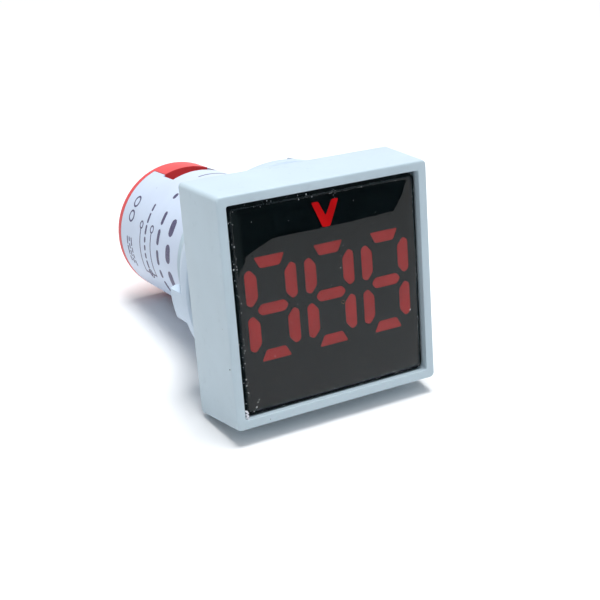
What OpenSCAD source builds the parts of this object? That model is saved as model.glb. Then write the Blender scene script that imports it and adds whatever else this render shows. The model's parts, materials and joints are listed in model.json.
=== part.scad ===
// Square panel voltmeter with three digits, for a round panel hole.
//
// The bezel's rear face is the panel's seat and lies on the plane y = 0. The neck and
// the barrel run back from it along +Y, the display looks out along -Y, and Z is up.
// The origin is the point of the barrel's axis in that seat.

/* [Bezel] */
// Side of the bezel's front face
front_side = 29; // [28.5:0.1:36]
// Side of the bezel's rear face, which the mould's draft makes a little larger
rear_side = 30.1; // [29:0.1:37]
// Depth of the bezel in front of the panel
bezel_depth = 9.5; // [9:0.1:14]
// Width of the frame round the display
frame_w = 1.2; // [0.8:0.05:1.4]
// Radius of the bezel's four long corners
corner_r = 0.6; // [0.3:0.05:1.5]
// Bevel round the front face
front_bevel = 0.2; // [0.1:0.05:0.4]
// Thickness of the wall behind the display
rear_wall = 1.6; // [1.2:0.05:1.7]

/* [Neck] */
// Diameter of the panel hole
hole_d = 22; // [21.6:0.1:24]
// Play of the neck in the panel hole, on the radius
hole_play = 0.1; // [0.05:0.01:0.2]
// Length of the neck behind the panel's seat
neck_len = 14; // [11:0.5:18]

/* [Gasket] */
// Thickness of the rubber gasket
gasket_t = 0.8; // [0.5:0.05:1.5]
// Outside diameter of the gasket
gasket_d = 27.2; // [25:0.1:29]
// Play round the neck, on the radius
gasket_play = 0.1; // [0.05:0.01:0.3]

/* [Lock nut] */
// Height of the nut
nut_h = 7.15; // [5.5:0.05:9]
// How much wider the nut's flange is than the bezel's rear face
flange_over = 0; // [0:0.1:1.5]
// Thickness of the flange's rim
nut_flange_t = 2; // [1.2:0.1:2.8]
// Diameter of the cone's rear end
nut_top_d = 25.9; // [25:0.1:27]
// How far the grip ribs stay inside the flange, on the radius
rib_inset = 0.25; // [0.1:0.05:0.8]
// Number of grip ribs
rib_count = 6; // [4:1:10]
// Width of a rib as an angle
rib_angle = 16; // [8:1:24]
// Bevel on a rib's rear corner
rib_bevel = 1; // [0.3:0.1:1.4]
// Clocking of the ribs in the tightened nut
rib_turn = -7.5; // [-30:0.5:30]
// Play between the neck's thread and the nut's, on the radius
nut_play = 0.08; // [0.04:0.01:0.1]

/* [Barrel] */
// Diameter of the white barrel
barrel_d = 20.3; // [20:0.1:20.8]
// Wall of the barrel
barrel_wall = 1.2; // [1:0.05:1.5]
// Length from the panel's seat to the terminal block's rear face
body_len = 38.3; // [37:0.5:48]
// Depth of the step where the barrel's spigot enters the neck
spigot_step = 0.6; // [0.4:0.05:0.65]
// Length of the spigot inside the neck
spigot_len = 6; // [3:0.5:9]

/* [Terminals] */
// Thickness of the terminal block's rear rim
rim_t = 1; // [0.6:0.1:1.6]
// Distance from the rear face to the terminal plates
seat_depth = 8.8; // [8.4:0.1:9.4]
// Length of the wire window, along the barrel
window_len = 3.6; // [3.3:0.1:3.9]
// Width of the wire window
window_w = 7.4; // [6.8:0.1:7.6]
// Width of the slot in the barrel over the window
slot_w = 7.7; // [7.4:0.1:8.2]
// How much narrower the slot is on each side behind the window
slot_step = 0.35; // [0.2:0.05:0.5]
// Thickness of the wall between the two terminals
barrier_t = 2.7; // [2.4:0.1:3]
// Wall between a screwdriver pocket and the barrel
pocket_wall = 0.75; // [0.6:0.05:1]
// Depth of the block from its rear face to its front face
block_len = 14.3; // [13.8:0.1:15.5]
// Diameter of the screw's thread
screw_d = 3; // [2.5:0.1:3.2]
// Length of the screw under its head
screw_len = 5.6; // [4.5:0.1:5.8]
// Diameter of the screw's head
head_d = 5.4; // [4.8:0.1:5.8]
// Height of the screw's head
head_h = 1.9; // [1.5:0.1:2.2]
// Thickness of the clamp washer
washer_t = 0.9; // [0.6:0.05:1]
// Play of the square clamp washer in its window
washer_play = 0.3; // [0.2:0.05:0.4]
// Thickness of the terminal plate
plate_t = 0.8; // [0.6:0.05:1]
// How much narrower the terminal plate is than the pocket, on each side
plate_play = 0.2; // [0.15:0.05:0.4]
// Width of the tail that runs from a plate to the power board
tail_w = 2.4; // [1.6:0.1:2.8]

/* [Display] */
// Distance from the bezel's front plane back to the middle of the dome
dome_sink = 0.05; // [0.02:0.01:0.3]
// Thickness of the clear dome in its middle
dome_t = 0.75; // [0.6:0.05:0.9]
// How far the dome falls away towards its corners
dome_fall = 0.45; // [0.1:0.05:0.55]
// Gap between the dome and the frame
dome_gap = 0.6; // [0.3:0.05:0.8]
// Depth of the black reflector
reflector_t = 4.6; // [4:0.1:4.7]
// Gap between the reflector and the frame
reflector_gap = 0.3; // [0.1:0.05:0.4]
// Height of a digit
digit_h = 13.1; // [11:0.1:14]
// Width of a digit
digit_w = 6.95; // [6.2:0.05:7.2]
// Distance between the middles of two digits
digit_pitch = 8.07; // [7.7:0.01:8.3]
// Width of a segment
segment_w = 1.6; // [1.2:0.05:1.8]
// Gap between the tips of two segments
segment_gap = 0.35; // [0.2:0.05:0.5]
// Height of the V over the digits
mark_h = 3.25; // [2.5:0.05:3.4]
// Width of the V
mark_w = 3.8; // [3:0.05:4.4]
// Width of the V's strokes
mark_stroke = 1; // [0.7:0.05:1.2]
// Height of the V's middle over the display's middle
mark_z = 10.05; // [9.7:0.05:10.3]
// Thickness of the coloured resin that fills a segment
resin_t = 3.6; // [2:0.1:3.6]

/* [Boards] */
// Thickness of both circuit boards
board_t = 1.2; // [1:0.1:1.4]
// Play of the power board's edges in the barrel
board_play = 0.25; // [0.15:0.05:0.6]
// Distance of the power board's wired side from the barrel's axis
power_x = 2.4; // [2.2:0.1:2.8]
// Distance from the panel's seat to the power board's front end
power_front = 1; // [0.6:0.1:1.5]
// How much smaller the smoothing capacitor's diameter is than the room from axis to barrel
smoother_room = 0.95; // [0.8:0.05:2]
// Length of board behind the smoothing capacitor
smoother_end = 7.7; // [7.5:0.1:10]
// How much the film capacitor's height is under the room from axis to barrel
film_room = 0.95; // [0.8:0.05:2.5]
// Length of board behind the film capacitor
film_end = 9.2; // [6:0.1:12]

/* [Hidden] */

$fn = 96;

// Fits and small features that belong to the moulds
fit = 0.05;            // between two parts that stay together
cut = 1;               // how far a cutting shape runs past the face that it opens
lead_in = 0.4;         // bevels at the mouths of the nut and at the end of the neck
post_r = 1.6;          // posts that carry the display board
leg = 0.3;             // half the width of a component's leg
chip_lift = 0.1;       // height of a chip's belly over its board

// Bezel and neck
neck_r = hole_d / 2 - hole_play;
neck_bore_r = barrel_d / 2 - spigot_step + fit;
opening = front_side - 2 * frame_w;
front_y = -bezel_depth;

// Display stack, from the front to the back
dome_y = front_y + dome_sink;
reflector_y = dome_y + dome_t;
reflector_side = opening - 2 * reflector_gap;
board_y = reflector_y + reflector_t;
board_back_y = board_y + board_t;
dome_side = opening - 2 * dome_gap;
digit_shift = -0.08;                                   // the digits' middle is a little low
segment_len = (digit_h - segment_w) / 2 - 2 * segment_gap - 0.35;
bar_len = digit_w - 2 * segment_w + segment_gap;
tip = 0.45;                                            // place of a tip across its segment
led_size = [1.2, 0.6, 0.9];
chip_size = [5, 1.8, 10];
chip_x = 4.6;

// Nut and gasket
nut_y = gasket_t + fit;
nut_bore_r = neck_r + nut_play;
rib_root_r = nut_bore_r + 0.7;

// Barrel and terminals
barrel_r = barrel_d / 2;
barrel_in_r = barrel_r - barrel_wall;
shell_end = body_len - rim_t - fit;
block_r = barrel_in_r - fit;
block_y = body_len - block_len;
seat_y = body_len - seat_depth;
window_end = seat_y + window_len;
washer_y = seat_y + fit;
head_y = washer_y + washer_t;
pocket_d = block_r - pocket_wall - barrier_t / 2;
screw_z = (barrier_t + pocket_d) / 2;
washer_side = pocket_d - 2 * washer_play;
plate_side = pocket_d - 2 * plate_play;
hole_play_screw = 0.07;
tip_hole_r = screw_d / 2 + 0.3;
tail_t = 0.5;
tail_z = screw_z + 0.4;
tail_reach = 4.5;                                      // how far a tail lies on the power board

// Power board and what stands on it
power_end = block_y - 0.3;
power_len = power_end - power_front;
power_back_x = power_x + board_t;
power_w = 2 * (sqrt(pow(barrel_in_r, 2) - pow(power_back_x, 2)) - board_play);
row_y = power_front + 4;                               // where the first row of parts begins
smoother_d = barrel_in_r - smoother_room;
smoother_len = power_end - smoother_end - row_y;
smoother_z = -smoother_d / 2 + 0.15;
film_y = power_front + 3;
film_z = 1.3;
film_h = barrel_in_r - film_room;
film_t = film_h - 3;
film_len = power_end - film_end - film_y;
bridge_size = [2.4, 3.9, 4.7];
bridge_y = power_end - smoother_end + 0.5;
pin_w = 0.6;
pin_pitch = 2.54;
pin_count = 4;
header_size = [2.5, 2.4, pin_pitch * pin_count];
pin_reach = 2.6;                                       // how far the pins lie on the power board
resistor_d = 2.4;
resistor_z = 3.2;
resistor_len = (power_len - 9.9) / 2;
lead_len = 1.2;
varistor_d = min(barrel_in_r - 1.95, (power_len - 8.7) / 2);
varistor_t = barrel_in_r - 5.75;
varistor_z = 2;
varistor_edge = 0.7;
varistor_y = row_y + resistor_len + lead_len + 1.8 + varistor_d / 2;
regulator_size = [1.5, 2.5, 4.5];
regulator_y = power_end - 4.5;
regulator_z = 4.75 - barrel_in_r;
regulator_leg = [0.4, 1, 0.5];

light_grey = [0.72, 0.77, 0.80];
resin_red = [0.66, 0.20, 0.20];
plated = [0.78, 0.77, 0.72];

// ---------------------------------------------------------------- helpers

// Turns what is drawn on Z so that it runs along +Y.
module along_y() {
    rotate([-90, 0, 0]) children();
}

// Turns a flat drawing upright and gives it a depth from y = from to y = to.
module upright(from, to) {
    translate([0, to, 0]) rotate([90, 0, 0]) linear_extrude(height = to - from) children();
}

// A round bar along Y between two planes.
module bar(r, from, to) {
    translate([0, from, 0]) along_y() cylinder(r = r, h = to - from);
}

// A box given by its size and the middle of its face that looks along -Y.
module block(size, x, y, z) {
    translate([x - size[0] / 2, y, z - size[2] / 2]) cube(size);
}

// A square with round corners.
module round_square(side, r) {
    straight = side - 2 * r;
    square([side, straight], center = true);
    square([straight, side], center = true);
    for (x = [-1, 1], z = [-1, 1]) {
        translate([x * straight / 2, z * straight / 2]) circle(r = r, $fn = 32);
    }
}

// One point of a corner's arc: the corner at b is rounded between its neighbours a and c.
function along(from, to, d) = from + (to - from) * d / norm(to - from);
function arc_point(a, b, c, r, t) =
    (1 - t) * (1 - t) * along(b, a, r) + 2 * t * (1 - t) * b + t * t * along(b, c, r);

// An outline whose corners are rounded with three points each.
function softened(p, r) = [
    for (i = [0 : len(p) - 1], t = [0, 0.5, 1])
        arc_point(p[(i + len(p) - 1) % len(p)], p[i], p[(i + 1) % len(p)], r, t)
];

// ---------------------------------------------------------------- display

// A side segment, drawn for the left of a digit. The tips lean to the outside.
function side_outline(inset) =
    let (w = segment_w / 2 - inset, h = segment_len / 2 - inset, m = -w + 2 * w * tip)
    [[-w, -h + 0.4], [m, -h], [w, -h + 1], [w, h - 1], [m, h], [-w, h - 0.4]];

// The top segment: long at the outside, short at the inside.
function end_outline(inset) =
    let (w = bar_len / 2 - inset, h = segment_w / 2 - 0.08 - inset)
    [[-w, h], [-w + 0.72, -h], [w - 0.72, -h], [w, h]];

// The middle segment, pointed at both ends.
function middle_outline(inset) =
    let (w = bar_len / 2 + 0.1 - inset, h = segment_w / 2 - 0.08 - inset)
    [[-w, 0], [-w + 0.55, -h], [w - 0.55, -h], [w, 0], [w - 0.55, h], [-w + 0.55, h]];

// The seven segments of one digit round its own middle.
module segments(inset) {
    side_x = (digit_w - segment_w) / 2;
    side_z = (digit_h - segment_w) / 4;
    end_z = (digit_h - segment_w) / 2 + 0.08;
    for (s = [-1, 1]) {
        for (t = [-1, 1]) {
            translate([s * side_x, t * side_z]) scale([-s, 1]) polygon(softened(side_outline(inset), 0.3));
        }
        translate([0, s * end_z]) scale([1, s]) polygon(softened(end_outline(inset), 0.25));
    }
    polygon(softened(middle_outline(inset), 0.3));
}

module digit_outline(place, inset) {
    translate([place * digit_pitch, digit_shift]) segments(inset);
}

// The letter V that names the unit, in volts.
module mark_outline(inset) {
    w = mark_w / 2 - inset;
    h = mark_h / 2 - inset;
    s = mark_stroke - 2 * inset;
    foot = 0.55 - inset;
    inner = 1.45 - mark_h / 2 - 3 * inset;
    outline = [[-w, h], [-foot, -h], [foot, -h], [w, h], [w - s, h], [0, inner], [-w + s, h]];
    translate([0, mark_z]) polygon(softened(outline, 0.18));
}

// The clear dome: a low crown cut off square.
module display_dome() {
    reach = dome_side / sqrt(2);
    steps = 12;
    crown = [for (i = [0 : steps]) let (r = reach * i / steps) [r, dome_fall * pow(r / reach, 2)]];
    color([0.3, 0.3, 0.32, 0.4])
    intersection() {
        upright(dome_y - cut, reflector_y) round_square(dome_side, 0.8);
        translate([0, dome_y, 0]) along_y() rotate_extrude()
            polygon(concat(crown, [[reach, dome_t], [0, dome_t]]));
    }
}

// The black block whose windows give the segments their shape.
module display_reflector() {
    color([0.06, 0.06, 0.07])
    upright(reflector_y, board_y) difference() {
        round_square(reflector_side, 0.8);
        for (place = [-1, 0, 1]) digit_outline(place, 0);
        mark_outline(0);
    }
}

module digit_resin(place) {
    color(resin_red) upright(reflector_y, reflector_y + resin_t) digit_outline(place, fit / 2);
}

module digit_left() {
    digit_resin(-1);
}

module digit_middle() {
    digit_resin(0);
}

module digit_right() {
    digit_resin(1);
}

module volt_mark() {
    color([0.78, 0.03, 0.03]) upright(reflector_y, reflector_y + resin_t) mark_outline(fit / 2);
}

module display_board() {
    color([0.10, 0.35, 0.20]) upright(board_y, board_back_y) round_square(reflector_side, 0.8);
}

// The light-emitting chips, one under each segment and one under the V.
module led_chips() {
    side_x = (digit_w - segment_w) / 2;
    side_z = (digit_h - segment_w) / 4;
    spots = [
        for (s = [-1, 1], t = [-1, 1]) [s * side_x, t * side_z],
        for (t = [-1, 0, 1]) [0, t * 2 * side_z]
    ];
    chip_y = board_y - led_size[1];
    color([0.92, 0.90, 0.80]) {
        for (place = [-1, 0, 1], p = spots) {
            block(led_size, place * digit_pitch + p[0], chip_y, digit_shift + p[1]);
        }
        block([0.8, led_size[1], 0.8], 0, chip_y, mark_z - mark_h / 4);
    }
}

// The flat driver chip with its two rows of legs, on the back of the display board.
module driver_chip() {
    legs = 8;
    color([0.12, 0.12, 0.13]) {
        block([chip_size[0], chip_size[1] - chip_lift, chip_size[2]], chip_x, board_back_y + chip_lift, 0);
        for (i = [0 : legs - 1], s = [-1, 1]) {
            z = (i - (legs - 1) / 2) * 1.2;
            block([1.2, 0.7, 0.4], chip_x + s * chip_size[0] / 2, board_back_y, z);
        }
    }
}

// The moulded strip that holds the pins between the two boards.
module header_body() {
    color([0.10, 0.10, 0.10])
    difference() {
        block(header_size, -power_x + header_size[0] / 2 - 0.5, board_back_y, 0);
        header_bars(pin_w / 2 + fit, board_back_y - cut, board_back_y + header_size[1] + cut);
    }
}

module header_bars(half, from, to) {
    for (i = [0 : pin_count - 1]) {
        z = (i - (pin_count - 1) / 2) * pin_pitch;
        block([2 * half, to - from, 2 * half], -power_x + pin_w / 2, from, z);
    }
}

module header_pins() {
    color(plated) header_bars(pin_w / 2, board_back_y, power_front + pin_reach);
}

// ---------------------------------------------------------------- power board

module power_board() {
    color([0.12, 0.38, 0.22])
    translate([-power_back_x, power_front, -power_w / 2]) cube([board_t, power_end - power_front, power_w]);
}

// An electrolytic can that lies on the board, with its groove and its two bent leads.
module smoothing_capacitor() {
    r = smoother_d / 2;
    x = -power_x + r + fit;
    groove = 0.35;
    color([0.16, 0.17, 0.20]) {
        translate([x, row_y, smoother_z]) along_y() rotate_extrude() polygon([
            [0, 0], [r - 0.5, 0], [r, 0.5], [r, 1.2], [r - groove, 1.5], [r, 1.8],
            [r, smoother_len - 0.4], [r - 0.4, smoother_len], [0, smoother_len]
        ]);
        for (s = [-1, 1]) {
            z = smoother_z + s * r * 0.35;
            block([2 * leg, lead_len, 2 * leg], x, row_y - lead_len, z);
            block([x + power_x + leg, 2 * leg, 2 * leg], (x - power_x + leg) / 2, row_y - lead_len, z);
        }
    }
}

module film_capacitor() {
    color([0.75, 0.18, 0.15])
    translate([-power_x, film_y, film_z]) cube([film_h, film_len, film_t]);
}

module bridge_rectifier() {
    x = -power_x + bridge_size[0] / 2;
    color([0.13, 0.13, 0.14]) {
        translate([chip_lift, 0, 0]) block(bridge_size, x, bridge_y, 0);
        for (s = [-1, 1], t = [0.2, 0.8]) {
            y = bridge_y + bridge_size[1] * t - 0.3;
            block([0.9, 0.6, 1.6], -power_x + 0.45, y, s * bridge_size[2] / 2);
        }
    }
}

module voltage_regulator() {
    pitch = regulator_size[2] / 3;
    color([0.14, 0.14, 0.15]) {
        block(regulator_size, -power_back_x - regulator_size[0] / 2, regulator_y, regulator_z);
        for (i = [-1, 0, 1]) {
            x = -power_back_x - regulator_leg[0] / 2;
            block(regulator_leg, x, regulator_y - regulator_leg[1], regulator_z + i * pitch);
        }
    }
}

// Two resistors that lie side by side on the back of the power board, on bent leads.
module dropper_resistors() {
    x = -power_back_x - resistor_d / 2 - fit;
    r = resistor_d / 2;
    waist = r - 0.15;
    cap = 0.4;
    bulge = 1.3;
    color([0.35, 0.55, 0.68])
    for (z = [-resistor_z, resistor_z]) {
        translate([x, row_y, z]) along_y() rotate_extrude() polygon([
            [0, 0], [r - cap, 0], [r, cap], [r, bulge], [waist, bulge + cap],
            [waist, resistor_len - bulge - cap], [r, resistor_len - bulge],
            [r, resistor_len - cap], [r - cap, resistor_len], [0, resistor_len]
        ]);
        for (end = [row_y - lead_len, row_y + resistor_len]) {
            block([2 * leg, lead_len, 2 * leg], x, end, z);
        }
        for (end = [row_y - lead_len, row_y + resistor_len + lead_len - 2 * leg]) {
            block([-power_back_x - x + leg, 2 * leg, 2 * leg], (x - leg - power_back_x) / 2, end, z);
        }
    }
}

// The disc that takes up mains surges lies flat on the back of the power board.
module varistor() {
    r = varistor_d / 2;
    e = varistor_edge;
    color([0.20, 0.35, 0.60])
    translate([-power_back_x - varistor_t, varistor_y, varistor_z]) rotate([0, 90, 0]) rotate_extrude()
        polygon([[0, 0], [r - e, 0], [r, e], [r, varistor_t - e], [r - e, varistor_t], [0, varistor_t]]);
}

// ---------------------------------------------------------------- bezel and fixing

// The bezel's outside: four leaning corner posts under one skin.
module bezel_block() {
    front = front_side / 2 - corner_r;
    rear = rear_side / 2 - corner_r;
    knee = front + (rear - front) * front_bevel / bezel_depth;
    slice = 0.01;
    hull() {
        for (x = [-1, 1], z = [-1, 1]) {
            translate([x * front, front_y, z * front]) along_y()
                cylinder(r1 = corner_r - front_bevel, r2 = corner_r, h = front_bevel, $fn = 32);
            translate([x * knee, front_y + front_bevel, z * knee]) along_y()
                cylinder(r = corner_r, h = slice, $fn = 32);
            translate([x * rear, -slice, z * rear]) along_y() cylinder(r = corner_r, h = slice, $fn = 32);
        }
    }
}

// Bezel and neck are one moulding, hollow for the display and the boards.
module front_housing() {
    post = opening / 2 - post_r;
    color(light_grey) {
        difference() {
            union() {
                bezel_block();
                bar(neck_r, -fit, neck_len - lead_in);
                translate([0, neck_len - lead_in, 0]) along_y()
                    cylinder(r1 = neck_r, r2 = neck_r - lead_in, h = lead_in);
            }
            upright(front_y - cut, -rear_wall) round_square(opening, 0.5);
            bar(neck_bore_r, -rear_wall - cut, neck_len + cut);
        }
        for (x = [-1, 1], z = [-1, 1]) {
            translate([x * post, 0, z * post]) bar(post_r, board_back_y, -rear_wall + fit);
        }
    }
}

module gasket() {
    color([0.13, 0.14, 0.15])
    difference() {
        bar(gasket_d / 2, 0, gasket_t);
        bar(neck_r + gasket_play, -cut, gasket_t + cut);
    }
}

// A flange, a cone behind it, and grip ribs that stand on the cone.
module lock_nut() {
    flange_r = rear_side / 2 + flange_over;
    top_r = nut_top_d / 2;
    rib_r = flange_r - rib_inset;
    edge = 0.3;
    body = [
        [nut_bore_r + lead_in, 0], [flange_r - edge, 0], [flange_r, edge], [flange_r, nut_flange_t],
        [top_r, nut_h], [nut_bore_r + lead_in, nut_h], [nut_bore_r, nut_h - lead_in], [nut_bore_r, lead_in]
    ];
    rib_top = nut_h - 0.1;
    rib = [
        [rib_root_r, 1], [rib_r, 1], [rib_r, rib_top - rib_bevel], [rib_r - rib_bevel, rib_top],
        [rib_root_r, rib_top]
    ];
    color(light_grey)
    translate([0, nut_y, 0]) along_y() {
        rotate_extrude() polygon(body);
        for (i = [0 : rib_count - 1]) {
            rotate([0, 0, rib_turn + i * 360 / rib_count - rib_angle / 2])
                rotate_extrude(angle = rib_angle) polygon(rib);
        }
    }
}

// The white tube with its spigot in front and a stepped slot over each terminal.
module barrel_shell() {
    color([0.88, 0.90, 0.95])
    difference() {
        union() {
            bar(barrel_r, neck_len + fit, shell_end);
            bar(barrel_r - spigot_step, neck_len - spigot_len, neck_len + 1);
        }
        bar(barrel_in_r, neck_len - spigot_len - cut, shell_end + cut);
        for (s = [-1, 1]) {
            block([slot_w, window_end - seat_y + 0.3, barrel_d], 0, seat_y - 0.3, s * barrel_d / 2);
            block([slot_w - 2 * slot_step, body_len, barrel_d], 0, window_end - fit, s * barrel_d / 2);
        }
    }
}

// ---------------------------------------------------------------- terminals

// The red block that closes the barrel and holds both screw terminals.
module terminal_block() {
    key_w = slot_w - 2 * slot_step - 2 * fit;
    color([0.80, 0.22, 0.25])
    difference() {
        union() {
            bar(block_r, block_y, body_len - rim_t);
            bar(barrel_r, body_len - rim_t, body_len);
            intersection() {
                bar(barrel_r, window_end, body_len);
                block([key_w, block_len, barrel_d], 0, window_end, 0);
            }
        }
        for (s = [-1, 1]) terminal_hollow(s);
    }
}

// What is cut out of the block for one terminal: s is 1 for the upper and -1 for the lower one.
module terminal_hollow(s) {
    deep = barrel_r + cut - barrier_t / 2;
    window_z = s * (barrier_t + deep) / 2;
    block([window_w, window_len, deep], 0, seat_y, window_z);
    block([plate_side + 2 * fit, plate_t + fit, plate_side + 2 * fit], 0, seat_y - plate_t, s * screw_z);
    translate([0, 0, s * screw_z]) {
        bar(pocket_d / 2, seat_y, body_len + cut);
        bar(tip_hole_r, head_y - screw_len - 0.4, seat_y);
    }
    block([tail_t + 2 * fit, seat_y - block_y + cut, tail_w + 2 * fit], -power_x + tail_t / 2, block_y - cut,
        s * tail_z);
}

// A plated brass plate with a threaded hole and a tail that is soldered to the power board.
module terminal_plate(s) {
    color(plated)
    difference() {
        union() {
            block([plate_side, plate_t, plate_side], 0, seat_y - plate_t, s * screw_z);
            block([tail_t, seat_y - power_end + tail_reach - fit, tail_w], -power_x + tail_t / 2,
                power_end - tail_reach, s * tail_z);
        }
        translate([0, 0, s * screw_z])
            bar(screw_d / 2 + hole_play_screw, seat_y - plate_t - cut, seat_y + cut);
    }
}

module terminal_plate_upper() {
    terminal_plate(1);
}

module terminal_plate_lower() {
    terminal_plate(-1);
}

// The square washer that clamps the wire and can't turn in its window.
module clamp_washer(s) {
    tooth = 0.25;
    color(plated)
    difference() {
        block([washer_side, washer_t, washer_side], 0, washer_y, s * screw_z);
        translate([0, 0, s * screw_z]) bar(screw_d / 2 + hole_play_screw, washer_y - cut, head_y + cut);
        for (i = [-2, 2]) block([washer_side + cut, tooth, tooth], 0, washer_y, s * screw_z + i);
    }
}

module clamp_washer_upper() {
    clamp_washer(1);
}

module clamp_washer_lower() {
    clamp_washer(-1);
}

// A cheese-head screw with a cross recess.
module terminal_screw(s) {
    edge = 0.35;
    recess = head_h * 0.62;
    color(plated)
    translate([0, head_y, s * screw_z]) difference() {
        union() {
            bar(head_d / 2, fit, head_h - edge);
            translate([0, head_h - edge, 0]) along_y()
                cylinder(r1 = head_d / 2, r2 = head_d / 2 - edge, h = edge);
            bar(screw_d / 2, -screw_len + edge, fit);
            translate([0, -screw_len, 0]) along_y()
                cylinder(r1 = screw_d / 2 - edge, r2 = screw_d / 2, h = edge);
        }
        block([head_d * 0.66, recess + cut, 0.85], 0, head_h - recess, 0);
        block([0.85, recess + cut, head_d * 0.66], 0, head_h - recess, 0);
    }
}

module terminal_screw_upper() {
    terminal_screw(1);
}

module terminal_screw_lower() {
    terminal_screw(-1);
}

// ---------------------------------------------------------------- the parts

front_housing();
display_dome();
display_reflector();
digit_left();
digit_middle();
digit_right();
volt_mark();
display_board();
led_chips();
driver_chip();
header_body();
header_pins();
power_board();
smoothing_capacitor();
film_capacitor();
bridge_rectifier();
voltage_regulator();
dropper_resistors();
varistor();
gasket();
lock_nut();
barrel_shell();
terminal_block();
terminal_plate_upper();
terminal_plate_lower();
clamp_washer_upper();
clamp_washer_lower();
terminal_screw_upper();
terminal_screw_lower();
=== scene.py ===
# %% [markdown]
# # A square panel voltmeter
#
# The object is a small meter that is pushed through a round hole in a panel: a grey square
# bezel with a black glossy display in front, a threaded neck with a lock nut, and a white
# barrel that ends in red screw terminals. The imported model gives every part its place, and
# this lesson gives the parts their rounded edges, their print, their dust and their finish.

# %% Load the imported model
import json
import math
import random

import bmesh
import bpy
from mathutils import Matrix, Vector

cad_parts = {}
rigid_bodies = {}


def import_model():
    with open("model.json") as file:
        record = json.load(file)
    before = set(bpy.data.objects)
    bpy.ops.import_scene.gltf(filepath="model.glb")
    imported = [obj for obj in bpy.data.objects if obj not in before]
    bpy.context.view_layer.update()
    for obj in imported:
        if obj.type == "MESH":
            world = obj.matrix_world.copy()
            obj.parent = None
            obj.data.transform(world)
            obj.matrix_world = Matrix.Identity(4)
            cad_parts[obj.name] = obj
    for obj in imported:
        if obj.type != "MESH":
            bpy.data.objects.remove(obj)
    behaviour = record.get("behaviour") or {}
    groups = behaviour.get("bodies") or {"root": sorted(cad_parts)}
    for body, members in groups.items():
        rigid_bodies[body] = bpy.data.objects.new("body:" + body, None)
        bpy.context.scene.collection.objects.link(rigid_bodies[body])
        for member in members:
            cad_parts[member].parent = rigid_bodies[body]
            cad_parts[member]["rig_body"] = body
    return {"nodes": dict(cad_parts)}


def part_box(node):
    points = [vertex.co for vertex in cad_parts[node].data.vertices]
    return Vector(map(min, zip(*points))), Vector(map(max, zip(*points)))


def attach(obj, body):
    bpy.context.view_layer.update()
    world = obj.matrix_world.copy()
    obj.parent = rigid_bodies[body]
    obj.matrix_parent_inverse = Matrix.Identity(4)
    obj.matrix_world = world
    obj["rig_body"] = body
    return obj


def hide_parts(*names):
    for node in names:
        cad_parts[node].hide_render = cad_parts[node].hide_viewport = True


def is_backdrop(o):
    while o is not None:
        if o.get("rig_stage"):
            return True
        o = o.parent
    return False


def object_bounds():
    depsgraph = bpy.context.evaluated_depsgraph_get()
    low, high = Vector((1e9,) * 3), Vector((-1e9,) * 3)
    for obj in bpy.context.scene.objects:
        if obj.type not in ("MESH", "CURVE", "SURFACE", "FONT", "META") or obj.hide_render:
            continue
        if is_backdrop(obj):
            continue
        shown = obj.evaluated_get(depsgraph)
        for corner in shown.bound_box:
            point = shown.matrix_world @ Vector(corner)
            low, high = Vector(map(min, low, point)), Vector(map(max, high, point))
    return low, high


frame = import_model()
cad_low, cad_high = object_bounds()
nodes = frame["nodes"]
MM = 0.001
print("the model measures", [round(v / MM, 2) for v in cad_high - cad_low], "mm")

# %% [markdown]
# ## Camera
#
# The camera stands in front of the meter, a little to its left and above it, and is rolled
# slightly, as a camera held in the hand is. A long lens keeps the square almost square. It
# could be aimed by a constraint, but a plain place and turn are easier to read. The Standard
# view shows each colour as it is written, where the default one would dull the whites.

# %% Set the camera
camera = bpy.data.objects.new("camera", bpy.data.cameras.new("camera"))
bpy.context.scene.collection.objects.link(camera)
camera.location = Vector((-66.15, -126.27, 41.79)) * MM
camera.rotation_euler = [math.radians(turn) for turn in (72.478, 4.158, -29.070)]
camera.data.lens = 68.67
camera.data.sensor_width = 36
camera.data.clip_start = 0.01
bpy.context.scene.camera = camera
bpy.context.scene.view_settings.view_transform = "Standard"
print("camera", [round(v, 3) for v in camera.location])

# %% [markdown]
# ## Values that vary over a surface
#
# A finish is more than a colour: it has clouds, grain and specks. Each of these is a number
# that varies over the surface. The small class below holds one such number, so that a mask
# can be written as a sum, and every sum adds its Math nodes by itself.

# %% A number that varies over a surface
class Value:
    """One number, or one colour, that a node gives for each point of a surface."""

    def __init__(self, finish, socket):
        self.finish, self.socket = finish, socket

    def math(self, operation, first, second=0.0):
        return self.finish.node("ShaderNodeMath", {"operation": operation}, {0: first, 1: second})

    def __add__(self, other):
        return self.math("ADD", self, other)

    def __sub__(self, other):
        return self.math("SUBTRACT", self, other)

    def __rsub__(self, other):
        return self.math("SUBTRACT", other, self)

    def __mul__(self, other):
        return self.math("MULTIPLY", self, other)

    def __truediv__(self, other):
        return self.math("DIVIDE", self, other)

    def __gt__(self, other):
        return self.math("GREATER_THAN", self, other)

    def __lt__(self, other):
        return self.math("LESS_THAN", self, other)

    def __abs__(self):
        return self.math("ABSOLUTE", self)

    def ramp(self, low, high, start=0.0, end=1.0):
        """Goes smoothly from start to end while the number goes from low to high."""
        return self.finish.node(
            "ShaderNodeMapRange",
            {"interpolation_type": "SMOOTHSTEP"},
            {"Value": self, "From Min": low, "From Max": high, "To Min": start, "To Max": end},
        )

    __radd__ = __add__
    __rmul__ = __mul__


# %% [markdown]
# ## Finishes
#
# A finish holds one material. Its `node` method is the only place where nodes are made: it
# takes a node's type, its settings and what goes into its sockets. Noise, spots, mixed
# colours and bumps are short methods on top of it. Sizes are given in millimetres.

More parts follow.
